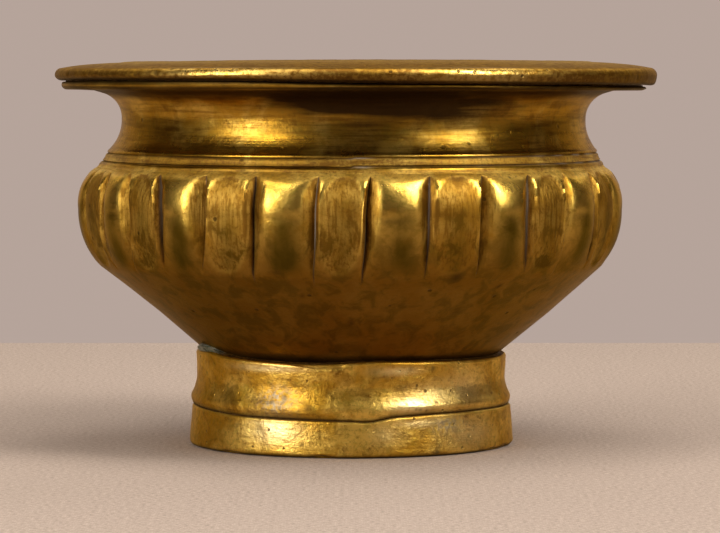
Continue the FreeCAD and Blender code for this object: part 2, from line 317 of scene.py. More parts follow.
def flute_marks():
    """One row for each flute: those at the front as given, the others spread over what is left."""
    given = {row[0]: np.array(row[1:]) for row in FRONT_FLUTES}
    first, last = FRONT_FLUTES[0][0], FRONT_FLUTES[-1][0]
    gap = (360 + given[first][1] - given[last][1]) / (FLUTES - last + first)
    rng = np.random.default_rng(7)
    rows = []
    for number in range(FLUTES):
        if number in given:
            rows.append(given[number])
            continue
        steps = number - last if number > last else number - last + FLUTES
        middle = given[last][1] + gap * steps + rng.uniform(-0.7, 0.7)
        wide, narrow = rng.uniform(1.6, 2.3), rng.uniform(0.7, 1.2)
        flanks = (wide, narrow) if number % 2 == 0 else (narrow, wide)
        rows.append(np.array([middle + rng.uniform(0, 1.4), middle, middle + rng.uniform(-1.2, 1.2),
                              rng.uniform(26.2, 28.8), *flanks, rng.uniform(0.85, 1.15)]))
    marks = np.array(rows)
    marks[:, :3] = (marks[:, :3] + 180 - PITCH / 2) % 360 - 180 + PITCH / 2
    return marks


def flute_line(mark, level):
    """Turn of a flute's bottom line at each level: a curve through its top, middle and foot."""
    top, middle, foot, foot_level = mark[0], mark[1], mark[2], mark[3]
    at = np.clip(level, foot_level - 1.0, FLUTE_TOP + 0.5)
    up = (at - FLUTE_MIDDLE) / (FLUTE_TOP - FLUTE_MIDDLE)
    down = (FLUTE_MIDDLE - at) / (FLUTE_MIDDLE - foot_level)
    return np.where(at > FLUTE_MIDDLE, middle + (top - middle) * up ** 2,
                    middle + (foot - middle) * down ** 2)


def leaf(level, foot_level):
    """Width of a flute along its length, 0 at its ends and 1 at its widest."""
    share = np.clip((level - foot_level) / (FLUTE_TOP - foot_level), 0, 1)
    return share ** 0.9 * (1 - share) ** 0.42 / 0.437


def file_the_belly(shell, depth):
    """Cut the flutes and the flat panels between every second pair of them."""
    outside = np.isin(shell.part, ["shoulder", "belly", "cone"])
    column = np.round((shell.turn % 360) / (360 / COLUMNS)).astype(int) % COLUMNS
    column = (column + COLUMNS // 2) % COLUMNS
    number, step = column // COLUMNS_PER_FLUTE, column % COLUMNS_PER_FLUTE
    share = step / COLUMNS_PER_FLUTE
    share = share - 0.66 * np.sin(math.tau * share) / math.tau
    marks = flute_marks()
    level = shell.level
    lines = np.array([flute_line(marks[index], level) for index in range(FLUTES)])
    here = np.arange(shell.count)
    left_line, right_line = lines[number, here], lines[(number + 1) % FLUTES, here]
    right_line = left_line + (right_line - left_line) % 360
    turn = left_line + share * (right_line - left_line)
    calm = smoothstep(44.0, 48.0, level) + smoothstep(24.0, 19.0, level)
    plain = -180 + (number + share) * PITCH
    off = (turn - plain + 180) % 360 - 180
    shell.turn = np.where(outside, plain + off * (1 - np.clip(calm, 0, 1)), shell.turn)

    to_mm = shell.radius * math.pi / 180
    from_left, from_right = (turn - left_line) * to_mm, (right_line - turn) * to_mm
    left_mark, right_mark = marks[number], marks[(number + 1) % FLUTES]
    left_leaf, right_leaf = leaf(level, left_mark[:, 3]), leaf(level, right_mark[:, 3])
    left_cut = left_mark[:, 6] * left_leaf * (1 - from_left / (left_mark[:, 5] * left_leaf + 0.02))
    right_cut = right_mark[:, 6] * right_leaf * (1 - from_right / (right_mark[:, 4] * right_leaf + 0.02))
    cut = np.clip(np.maximum(left_cut, right_cut), 0, None)

    lobe = number % 2 == 1
    across = share * 2 - 1
    window = smoothstep(26.5, 31.0, level) * smoothstep(FLUTE_TOP, 39.5, level)
    crown = np.where(lobe, 0.66 * across ** 2 - 0.12, 0.14 * across ** 2 - 0.04) * window
    arch = 1 - np.abs(across / 0.86) ** 2.4 - np.abs((level - 34.7) / 7.2) ** 3.2
    panel = np.where(lobe, 0.0, PANEL_DEPTH * smoothstep(0.0, 0.22, arch))
    core = np.maximum(left_leaf ** 0.35 * np.exp(-(from_left / SLOT_WIDTH) ** 2),
                      right_leaf ** 0.35 * np.exp(-(from_right / SLOT_WIDTH) ** 2))
    strokes = shell.roughen(0.05, 0.9, 3, squash=9.0)
    filed = np.clip(np.maximum(cut * 4, panel * 4), 0, 1)
    worked = np.maximum(depth * cut, panel) + crown + SLOT_DEPTH * core + strokes * filed
    shell.radius = shell.radius - np.where(outside, worked, 0)
    shell.paint("cut", np.where(outside, smoothstep(0.02, 0.22, cut), 0))
    core = np.where(outside, core, 0)
    shell.paint("core", core)
    shell.paint("panel", np.where(outside, panel / PANEL_DEPTH, 0))
    # Painted shade: a painted dark reflection down the middle of each lobe, fainter on the panels.
    dusk = np.where(lobe, 1.0, 0.4) * np.exp(-((across - 0.08) / 0.5) ** 2)
    dusk = dusk * smoothstep(38.6, 35.2, level) * smoothstep(26.5, 29.5, level)
    shell.paint("dusk", np.where(outside, dusk * (1.0 + shell.roughen(0.5, 3.0, 4)), 0))
    land = window * smoothstep(0.06, 0.0, cut) * (1 - panel / PANEL_DEPTH)
    shell.paint("land", np.where(outside, land, 0))
    return core


# ---------------------------------------------------------------- the pieces

def shell_outline(sizes):
    """The vessel: flange, neck, chased band, belly, cone, bottom and its inside."""
    top = sizes.rim_level / MM
    lip = sizes.lip_radius / MM
    outline = Outline(0.0, 11.0, "under")
    outline.line(14.0, 11.0, "under", 2.4)
    outline.arc((18.0, 11.45), (21.0, 12.95), "under", 1.2)
    outline.line(23.1, 14.62, "cone", 0.5)
    outline.line(38.2, 27.2, "cone", 0.85)
    outline.arc((40.75, 31.7), (41.38, 35.8), "belly", 0.36)
    outline.arc((41.0, 39.2), (39.85, 41.2), "belly", 0.33)
    outline.arc((39.35, 41.65), (38.7, 42.05), "shoulder", 0.25)
    outline.line(38.38, 42.45, "chase", 0.2)
    outline.arc((38.24, 42.82), (37.95, 43.04), "chase", 0.12)
    outline.line(37.66, 43.16, "chase", 0.14)
    outline.line(37.86, 43.3, "chase", 0.14)
    outline.arc((37.62, 43.6), (37.5, 43.9), "chase", 0.14)
    outline.line(37.42, 44.12, "chase", 0.18)
    outline.line(37.1, 44.36, "chase", 0.16)
    outline.line(37.26, 44.5, "chase", 0.16)
    outline.arc((37.2, 44.7), (36.98, 44.9), "ridge", 0.12)
    outline.arc((35.8, 46.8), (35.34, 49.4), "neck", 0.4)
    outline.arc((36.15, 51.9), (38.3, 53.35), "neck", 0.4)
    outline.line(39.6, 53.72, "flange", 0.6)
    outline.line(lip - 0.9, top - 4.45, "lip", 0.7)
    outline.arc((lip - 0.22, top - 4.2), (lip, top - 3.72), "lip", 0.15)
    outline.line(lip - 0.03, top - 3.5, "lip", 0.15)
    outline.arc((lip - 0.12, top - 3.3), (lip - 0.35, top - 3.21), "lip", 0.12)
    outline.line(MOUTH_RADIUS, top - 1.92, "joint", 3.0)
    outline.line(MOUTH_RADIUS, 49.5, "inside", 1.6)
    outline.arc((33.9, 46.6), (35.2, 44.7), "inside", 1.3)
    outline.line(36.5, 41.6, "inside", 1.3)
    outline.arc((38.4, 38.9), (38.95, 36.0), "inside", 1.3)
    outline.arc((38.2, 31.6), (35.6, 27.8), "inside", 1.3)
    outline.line(20.2, 15.15, "inside", 1.6)
    outline.arc((17.2, 13.7), (14.1, 13.2), "inside", 1.4)
    outline.line(0.0, 13.2, "inside", 2.4)
    return outline


def shell_lean(level, lean):
    """Sideways shift of the vessel at a level: cone, neck and flange sit off the foot's axis."""
    marks = [(11.0, 0.3), (15.0, 0.6), (20.0, 0.85), (24.0, 0.5), (28.0, 0.0), (42.0, 0.05),
             (46.0, 0.5), (50.0, 0.6), (53.0, 0.7), (58.0, 0.65)]
    levels, shares = zip(*marks)
    return lean * np.interp(level, levels, shares)


# The seam between ring and lip and the lip's lower edge wander round the rim: turn, level in mm.
RIM_SEAM = [(-130, 55.05), (-90, 55.2), (-60, 55.5), (-22, 55.5), (0, 55.2), (27, 54.97), (62, 54.69),
            (90, 54.45), (130, 54.6), (175, 54.9)]
LIP_EDGE = [(-130, 53.9), (-90, 53.85), (-40, 54.0), (0, 54.05), (27, 53.95), (62, 53.8), (90, 53.7),
            (130, 53.8), (175, 53.9)]


def follow_seam(turned):
    """How far to raise each vertex so that a joint drawn level follows the wandering seam."""
    return (round_the_edge(turned.turn, RIM_SEAM) - SEAM_DESIGN) * smoothstep(34, 43.5, turned.radius)


# Dark spots: turn, level, width in mm, strength.
SHELL_STAINS = [
    (-1.0, 20.3, 0.55, 0.9), (-40.0, 18.2, 0.5, 0.6), (1.5, 15.8, 1.3, 0.5), (23.5, 27.2, 0.9, 0.8),
    (36.0, 25.6, 0.35, 0.9), (-16.0, 28.0, 0.6, 0.5), (-57.0, 40.0, 0.5, 0.9), (13.0, 43.1, 0.35, 0.9),
    (-24.0, 42.6, 0.6, 0.6), (52.0, 52.6, 0.7, 0.5), (6.0, 52.0, 2.4, 0.5), (14.0, 51.0, 2.0, 0.55),
    (20.0, 50.2, 2.6, 0.6), (10.0, 48.0, 2.2, 0.35), (9.0, 46.2, 1.8, 0.45), (33.0, 50.0, 2.0, 0.4),
    (-8.0, 44.9, 1.6, 0.5), (58.0, 51.3, 0.5, 0.7), (-12.0, 24.5, 0.4, 0.6), (28.0, 22.0, 0.45, 0.5),
]


def build_shell(sizes):
    """The vessel, turned, filed, chased and painted with its wear."""
    outline = shell_outline(sizes)
    piece = spin_outline("vessel", outline, closed=False)
    shell = Turned(piece, outline)
    line = np.maximum(np.exp(-((shell.level - LOW_LINE) / 0.11) ** 2),
                      np.exp(-((shell.level - HIGH_LINE) / 0.12) ** 2))
    shell.paint("groove", line * (shell.part == "chase"))
    outer = ~np.isin(shell.part, ["inside", "joint"])
    core = file_the_belly(shell, sizes.flute_depth / MM)
    patches = np.clip(0.5 + shell.roughen(1.1, 2.4, 8, squash=2.0), 0, 1)
    started = bump_at(shell.turn, shell.level, 2.5, 43.0, 1.3, 0.14, 38)
    started = np.maximum(started, bump_at(shell.turn, shell.level, 2.0, 44.3, 1.5, 0.12, 38))
    chalk = np.maximum(core ** 3 * patches, 0.8 * line * patches * smoothstep(10, 60, shell.turn))
    shell.paint("chalk", np.maximum(chalk, started) * (shell.part != "inside"))

    # The chased lines were cut in one round and miss their own start by a little at the front.
    behind = (-shell.turn) % 360
    late = np.exp(-behind / 90.0)
    chased = np.isin(shell.part, ["chase", "shoulder", "ridge"])
    low_line = smoothstep(42.0, 42.6, shell.level) * smoothstep(43.9, 43.3, shell.level)
    high_line = smoothstep(43.6, 44.1, shell.level) * smoothstep(45.2, 44.7, shell.level)
    shell.level = shell.level - chased * late * (0.16 * low_line + 0.13 * high_line)
    dull = smoothstep(40.8, 41.6, shell.level) * smoothstep(44.45, 44.2, shell.level)
    dull = dull * (1 - np.exp(-((shell.level - 42.8) / 0.2) ** 2))
    shell.paint("band", dull * np.isin(shell.part, ["chase", "shoulder", "belly"]))

    inside_waves = shell.roughen(0.08, 9.0, 1)
    fine_waves = shell.roughen(0.022, 2.6, 2)
    shell.radius = shell.radius + np.where(outer, inside_waves + fine_waves, inside_waves)
    burr = bump_at(shell.turn, shell.level, 18.6, 30.4, 0.5, 0.35, 41) * outer
    shell.radius = shell.radius + 0.25 * burr
    lip_rise = (round_the_edge(shell.turn, LIP_EDGE) - LIP_DESIGN) * smoothstep(38.5, 43.0, shell.radius)
    upper = smoothstep(LIP_DESIGN, sizes.rim_level / MM - 3.3, shell.level)
    rise = lip_rise * (1 - upper) + follow_seam(shell) * upper
    shell.level = shell.level + np.where(np.isin(shell.part, ["lip", "flange", "joint"]), rise, 0)
    shell.shift_x = shell_lean(shell.level, sizes.lean / MM)

    waver = shell.roughen(1.0, 9.0, 6, squash=0.2) + shell.roughen(0.6, 4.0, 7, squash=0.2)
    # A thin film on the upper neck all round, with painted shade over it: a painted dark reflection at the
    # front of the neck and a dark band under the flange.
    neck_dark_reflection = smoothstep(-30, 2, shell.turn + 7 * waver) * smoothstep(58, 12, shell.turn + 9 * waver)
    neck_film_and_shade = np.clip(smoothstep(46.0, 51.8, shell.level + 1.2 * waver) * (0.24 + 0.95 * neck_dark_reflection), 0, 1)
    neck_film_and_shade = np.maximum(neck_film_and_shade, 0.9 * smoothstep(51.6, 53.6, shell.level))
    # Painted shade on the lip under the ring, deeper at the front, and left less dark along a thin line.
    front = smoothstep(-16, -2, shell.turn) * smoothstep(32, 14, shell.turn)
    lip_shade = smoothstep(42.0, 44.2, shell.radius) * (0.84 + 0.14 * front)
    lip_shade = lip_shade * (1 - 0.5 * np.exp(-((shell.level - 54.6) / 0.16) ** 2))
    on_lip = np.maximum(neck_film_and_shade * smoothstep(44.3, 42.0, shell.radius), lip_shade)
    neck_film_and_shade = np.where(shell.radius > 42.0, on_lip, neck_film_and_shade)
    # Painted shade where the cone meets the collar.
    foot_joint_shade = 0.7 * smoothstep(15.4, 14.2, shell.level)
    shell.paint("grime", outer * np.maximum(neck_film_and_shade, foot_joint_shade))
    # Painted shade on the downward-facing belly and cone, over their brown tarnish: darker lower down.
    shell.paint("underside", smoothstep(41.0, 28.0, shell.level) * outer)
    stain = np.zeros(shell.count)
    for turn, level, size, strength in SHELL_STAINS:
        radius = np.interp(level, [15, 28, 36, 42, 45, 50], [24, 38, 41, 38.5, 37, 35.4])
        stain = np.maximum(stain, strength * bump_at(shell.turn, shell.level, turn, level,
                                                     size, size * 0.8, radius))
    shell.paint("stain", stain * outer)
    shell.paint("neck", smoothstep(42.0, 42.6, shell.level) * outer)
    shell.paint("inner", (shell.part == "inside").astype(float))
    shell.place()
    return piece


# The crown of the ring sags at both sides of the front: turn, level in mm from the design level.
CROWN_SAG = [(-130, -0.2), (-90, -0.30), (-55, -0.22), (-25, -0.02), (0, 0.04), (30, 0.04), (60, -0.16),
             (90, -0.20), (130, -0.15), (175, -0.05)]


def build_rim(sizes):
    """The domed ring with its round bead, pitted by the casting."""
    top, rim = sizes.rim_level / MM, sizes.rim_radius / MM
    root = top - 3.0
    outline = Outline(MOUTH_RADIUS, top - 1.75, "under")
    outline.line(rim - 0.95, root, "under", 1.4)
    outline.arc((rim - 0.25, root + 0.3), (rim, root + 1.0), "bead", 0.17)
    outline.arc((rim - 0.33, root + 1.66), (rim - 1.1, root + 1.98), "bead", 0.17)
    outline.arc((40.9, top - 0.38), (36.0, top), "top", 0.5)
    outline.arc((34.0, top - 0.3), (MOUTH_RADIUS, top - 1.0), "mouth", 0.25)
    piece = spin_outline("rim_bead_ring", outline)
    ring = Turned(piece, outline)
    edge = ring.part == "bead"
    lower = smoothstep(root + 1.0, root + 0.1, ring.level)
    inner = np.where(np.isin(ring.part, ["top", "mouth"]), smoothstep(45.0, 37.0, ring.radius), 0)
    cast = ring.roughen(0.07, 3.0, 11) + ring.roughen(0.04, 1.3, 12)
    pits = noise_cells(ring, 2.6, 21, 0.26)
    ring.level = ring.level + follow_seam(ring) * lower + round_the_edge(ring.turn, CROWN_SAG) * inner
    ring.level = (ring.level + (1 - lower) * ring.roughen(0.07, 16.0, 13)
                  + inner * ring.roughen(0.02, 1.6, 14))
    ring.radius = ring.radius + np.where(edge, cast - 0.10 * pits, 0)
    ring.shift_x = np.full(ring.count, sizes.lean / MM)
    ring.paint("pit", pits * (ring.part != "under"))
    # Painted shade on the bead's lower half, darkest at the seam; the ring's hidden underside is dark too.
    shaded = 0.6 * smoothstep(root + 1.3, root + 0.6, ring.level)
    ring.paint("grime", np.maximum(ring.part == "under", np.maximum(shaded * edge, lower ** 3)))
    ring.paint("top", inner)
    # Painted highlight: the bead is left cleaner, brighter and smoother where the lights' reflections fall
    # on it.
    rubbed = np.maximum(np.exp(-((ring.turn + 25) / 13) ** 2), np.exp(-((ring.turn - 23) / 11) ** 2))
    ring.paint("rubbed", rubbed * edge)
    ring.place()
    return piece


def noise_cells(turned, size, seed, share):
    """Scattered small round pits: 1 in a pit, 0 between."""
    angle = np.radians(turned.turn)
    x, y = turned.radius * np.sin(angle) / size, -turned.radius * np.cos(angle) / size
    z = turned.level / size + 17.3 * seed
    near = np.array([noise.voronoi(Vector(p))[0][0] for p in zip(x, y, z)])
    return smoothstep(share, share * 0.45, near)


# The collar's upper edge and the seam between collar and band wander too: turn, level in mm.
COLLAR_EDGE = [(-150, 13.9), (-110, 14.1), (-75, 14.35), (-62, 14.6), (-50, 14.15), (-37, 13.85),
               (-24, 13.65), (-12, 13.6), (-3, 13.75), (3, 14.0), (10, 14.1), (26, 13.95), (46, 13.75),
               (68, 13.6), (100, 13.8), (140, 14.05), (175, 13.8)]
SEAM_LEVELS = [(-150, 5.9), (-110, 6.1), (-78, 6.2), (-64, 6.05), (-50, 5.85), (-38, 5.7), (-18, 5.6),
               (0, 5.42), (6, 5.3), (10, 5.55), (15, 6.0), (29, 6.25), (53, 6.3), (80, 6.2), (120, 5.9),
               (165, 6.0)]


def build_collar(sizes):
    """The waisted hoop of beaten sheet that the vessel is soldered into."""
    swell = sizes.collar_radius / MM
    waist, lip = swell - WAIST_INSET, swell - 0.2
    top, bottom = sizes.collar_level / MM, sizes.band_level / MM + 0.15
    wall = 1.0
    outline = Outline(lip - wall, bottom, "foot")
    outline.line(lip - 0.3, bottom, "foot", 0.4)
    outline.arc((lip - 0.07, bottom + 0.07), (lip, bottom + 0.25), "foot", 0.12)
    outline.arc((swell, bottom + 0.95), (swell - 0.14, bottom + 1.85), "side", 0.22)
    outline.arc((waist + 0.25, bottom + 3.0), (waist, bottom + 4.4), "side", 0.25)
    outline.line(waist + 0.12, top - 0.55, "side", 0.3)
    outline.arc((waist + 0.07, top - 0.2), (waist - 0.15, top), "edge", 0.1)
    outline.line(waist - 0.3, top - 0.02, "edge", 0.15)
    outline.line(waist - wall, top - 0.75, "edge", 0.3)
    outline.line(waist - wall, bottom + 4.4, "inside", 0.7)
    outline.arc((swell - wall - 0.15, bottom + 2.3), (lip - wall, bottom), "inside", 0.7)
    piece = spin_outline("foot_waist_hoop", outline)
    hoop = Turned(piece, outline)
    up = smoothstep(bottom, top, hoop.level)
    down = 1 - smoothstep(bottom, bottom + 2.6, hoop.level)
    high = round_the_edge(hoop.turn, COLLAR_EDGE) - COLLAR_DESIGN
    low = round_the_edge(hoop.turn, SEAM_LEVELS) - HOOP_SEAM_DESIGN
    hoop.level = hoop.level + high * up ** 3 + low * down
    outer = np.isin(hoop.part, ["side", "edge", "foot"])
    hammered = hoop.roughen(0.10, 5.5, 31) + hoop.roughen(0.05, 2.2, 32)
    patch = bump_at(hoop.turn, hoop.level, -27, 8.2, 2.6, 1.9)
    rough = hoop.roughen(0.10, 0.9, 33) * patch
    lap = bump_at(hoop.turn, hoop.level, 7.5, 6.4, 1.6, 1.0)
    lap = lap - bump_at(hoop.turn, hoop.level, 4.0, 6.2, 1.2, 0.9)
    hoop.radius = hoop.radius + outer * (hammered + rough + 0.12 * lap)
    # The upper edge was dressed flat over a short stretch of the front, which left a thin burr.
    dressed = smoothstep(-28, -22, hoop.turn) * smoothstep(-1.0, -4.0, hoop.turn)
    crease = 13.75 - 0.75 * smoothstep(-28, -10, hoop.turn)
    above = smoothstep(crease - 0.1, crease + 0.1, hoop.level) * dressed
    hoop.radius = hoop.radius - outer * 0.22 * above
    hoop.shift_x = np.full(hoop.count, 0.05)
    # Darker along the seam at the collar's lower edge, under its swell, and over the dressed stretch.
    seam_darkening = 0.9 * smoothstep(bottom + 0.55, bottom + 0.05, hoop.level - low * down)
    hoop.paint("grime", outer * np.maximum(seam_darkening, 0.5 * above))
    hoop.paint("patch", patch)
    finish_hoop(hoop)
    return piece


# Pits and grey marks on the foot: turn, level, width in mm, strength.
FOOT_STAINS = [
    (31.5, 7.9, 0.25, 1.0), (25.0, 6.9, 0.25, 0.9), (23.5, 7.0, 0.22, 0.9), (27.5, 6.7, 0.25, 0.9),
    (31.0, 12.9, 0.45, 0.9), (22.0, 12.9, 0.4, 0.6), (8.0, 12.6, 1.1, 0.5), (-33.0, 8.0, 0.9, 0.45),
    (-36.0, 8.4, 0.9, 0.3), (-24.0, 8.9, 0.7, 0.4), (-15.0, 7.3, 0.8, 0.6), (62.0, 8.2, 1.8, 0.35),
    (30.0, 4.6, 1.2, 0.45), (36.0, 4.9, 1.4, 0.5), (33.0, 3.2, 0.4, 0.7), (35.0, 3.1, 0.35, 0.7),
    (25.5, 3.0, 0.3, 0.8), (32.0, 1.4, 0.35, 0.9), (-44.0, 4.3, 0.35, 0.8), (-17.0, 1.9, 0.3, 0.9),
    (-48.0, 5.1, 0.6, 0.4), (40.0, 3.5, 0.5, 0.5), (46.0, 2.6, 0.4, 0.5), (31.0, 0.5, 0.6, 1.0),
]


# Painted highlights, brighter and smoother brass where the lights' reflections fall: turn, level, width and
# height in mm, strength.
FOOT_PAINTED_HIGHLIGHTS = [(22.0, 7.6, 3.4, 1.1, 1.0), (31.0, 8.6, 4.5, 2.0, 0.5), (-28.0, 3.6, 4.0, 1.8, 0.8),
               (-31.0, 12.9, 5.5, 0.5, 0.8), (17.0, 12.6, 3.5, 0.6, 0.6), (-31.0, 4.8, 3.0, 0.5, 0.7),
               (24.0, 4.9, 4.0, 0.6, 0.6), (12.0, 3.4, 2.0, 1.5, 0.4), (47.0, 3.0, 5.0, 2.2, 0.5),
               (46.0, 9.5, 5.0, 2.6, 0.45)]


def finish_hoop(hoop):
    """The marks that both hoops of the foot share; then the hoop is done."""
    stain, rubbed = np.zeros(hoop.count), np.zeros(hoop.count)
    for turn, level, size, strength in FOOT_STAINS:
        stain = np.maximum(stain, strength * bump_at(hoop.turn, hoop.level, turn, level, size, size))
    # The painted highlights, kept under the name rubbed.
    for turn, level, wide, tall, strength in FOOT_PAINTED_HIGHLIGHTS:
        rubbed = np.maximum(rubbed, strength * bump_at(hoop.turn, hoop.level, turn, level, wide, tall))
    hoop.paint("edge", (hoop.part == "edge") * 1.0)
    hoop.paint("stain", stain)
    hoop.paint("rubbed", rubbed)
    hoop.place()


def build_band(sizes):
    """The plain hoop the bowl stands on, with a hammered face and a softly worn lower edge."""
    base, top = sizes.band_radius / MM, sizes.band_level / MM
    inside = base - 1.25
    outline = Outline(inside, 0.0, "under")
    outline.line(base - 0.55, 0.0, "under", 0.35)
    outline.arc((base - 0.08, 0.16), (base + 0.08, 0.6), "side", 0.12)
    outline.arc((base - 0.04, 2.6), (base - 0.3, top - 0.5), "side", 0.3)
    outline.arc((base - 0.37, top - 0.17), (base - 0.6, top), "edge", 0.12)
    outline.line(inside, top, "edge", 0.35)
    outline.line(inside, 0.3, "inside", 0.8)
    piece = spin_outline("foot_base_hoop", outline)
    hoop = Turned(piece, outline)
    up = smoothstep(top - 2.6, top, hoop.level)
    low = round_the_edge(hoop.turn, SEAM_LEVELS) - HOOP_SEAM_DESIGN
    hoop.level = hoop.level + low * up
    outer = np.isin(hoop.part, ["side", "edge"])
    flat = smoothstep(0.0, 1.2, hoop.level)
    hammered = hoop.roughen(0.13, 6.0, 41) + hoop.roughen(0.06, 2.4, 42) * flat
    hoop.radius = hoop.radius + outer * hammered
    chips = hoop.roughen(0.5, 4.0, 43, squash=50) - 0.1
    chips = (hoop.part == "side") * np.clip(chips, 0, None)
    hoop.level = hoop.level + chips * smoothstep(0.9, 0.1, hoop.level)
    hoop.shift_x = np.full(hoop.count, 0.12)
    # Painted shade along the band's foot where it stands on the table, and darker along the seam at its
    # top.
    hoop.paint("grime", outer * np.maximum(smoothstep(0.55, 0.05, hoop.level),
                                           0.7 * smoothstep(top - 0.2, top, hoop.level - low)))
    hoop.paint("patch", bump_at(hoop.turn, hoop.level, 36, 4.6, 2.6, 1.2))
    finish_hoop(hoop)
    return piece


def build_rim_solder(sizes):
    """The film of solder that holds the ring on the flange."""
    top, lip = sizes.rim_level / MM, sizes.lip_radius / MM
    outline = Outline(33.75, top - 1.95, "film")
    outline.line(lip - 0.5, top - 3.17, "film", 1.5)
    outline.line(lip - 0.5, top - 3.0, "film", 0.2)
    outline.line(33.75, top - 1.8, "film", 1.5)
    piece = spin_outline("rim_solder_film", outline, columns=180)
    film = Turned(piece, outline)
    film.shift_x = np.full(film.count, 0.75 * sizes.lean / MM)
    film.radius = film.radius + (film.radius > 40) * film.roughen(0.2, 5.0, 51)
    film.level = film.level + follow_seam(film)
    film.paint("green", np.clip(0.5 + film.roughen(0.8, 6.0, 52), 0, 1))
    film.place()
    return piece


def build_band_solder(sizes):
    """The film of solder in the butt joint between the two hoops."""
    inside, top = sizes.band_radius / MM - 1.2, sizes.band_level / MM
    outline = Outline(inside, top, "film")
    outline.line(inside + 0.6, top, "film", 0.3)
    outline.arc((inside + 0.68, top + 0.07), (inside + 0.6, top + 0.15), "film", 0.08)
    outline.line(inside, top + 0.15, "film", 0.3)
    piece = spin_outline("band_solder_film", outline, columns=360)
    film = Turned(piece, outline)
    film.level = film.level + round_the_edge(film.turn, SEAM_LEVELS) - HOOP_SEAM_DESIGN
    film.paint("green", np.clip(0.4 + film.roughen(0.8, 6.0, 53), 0, 1))
    film.place()
    return piece


def build_foot_solder(sizes):
    """The fillet between cone and collar, seated in the vessel's wall, with a lump at the left."""
    top, waist = sizes.collar_level / MM, sizes.collar_radius / MM - WAIST_INSET
    outline = Outline(waist - 2.9, top - 0.7, "fillet")
    outline.line(waist - 1.02, top - 1.2, "fillet", 0.4)
    outline.line(waist - 0.98, top - 0.62, "fillet", 0.3)
    outline.line(waist - 0.35, top - 0.2, "fillet", 0.25)
    outline.arc((waist - 0.62, top - 0.06), (waist - 0.95, top + 0.2), "face", 0.12)
    outline.line(waist - 2.85, top - 0.66, "seat", 0.5)
    piece = spin_outline("foot_solder_fillet", outline)
    fillet = Turned(piece, outline)
    face = fillet.part == "face"
    high = round_the_edge(fillet.turn, COLLAR_EDGE) - COLLAR_DESIGN
    fillet.level = fillet.level + np.where(face | (fillet.level > top - 0.3), high * 0.9, 0)
    lump = bump_at(fillet.turn, fillet.level, -68, top + 0.2, 4.6, 2.4)
    fillet.radius = fillet.radius + np.where(face, 1.8 * lump + fillet.roughen(0.16, 1.4, 61), 0)
    fillet.level = fillet.level + np.where(face, 1.1 * lump, 0)
    fillet.shift_x = 0.35 * smoothstep(top - 0.2, top + 1.0, fillet.level)
    fillet.paint("green", np.clip(0.35 + fillet.roughen(0.9, 1.6, 62) + 0.4 * lump, 0, 1))
    fillet.paint("bare", lump)
    fillet.place()
    return piece


# ---------------------------------------------------------------- materials

class Value:
    """A socket used in an expression: each operator adds a Math node."""

    def __init__(self, surface, socket):
        self.surface, self.socket = surface, socket

    def math(self, operation, *others):
        inputs = {index + 1: other for index, other in enumerate(others)}
        return self.surface.node("ShaderNodeMath", {"operation": operation}, {0: self, **inputs})

    def __add__(self, other):
        return self.math("ADD", other)

    def __mul__(self, other):
        return self.math("MULTIPLY", other)

    def __sub__(self, other):
        return self.math("SUBTRACT", other)

    def __rsub__(self, other):
        return self.surface.node("ShaderNodeMath", {"operation": "SUBTRACT"}, {0: other, 1: self})

    __radd__, __rmul__ = __add__, __mul__

    def largest(self, other):
        return self.math("MAXIMUM", other)

    def smallest(self, other):
        return self.math("MINIMUM", other)

    def step(self, low, high):
        """0 below low and 1 above high, or the other way round, with soft ends."""
        return self.surface.node("ShaderNodeMapRange", {"interpolation_type": "SMOOTHSTEP"},
                                 {"Value": self, "From Min": low, "From Max": high})


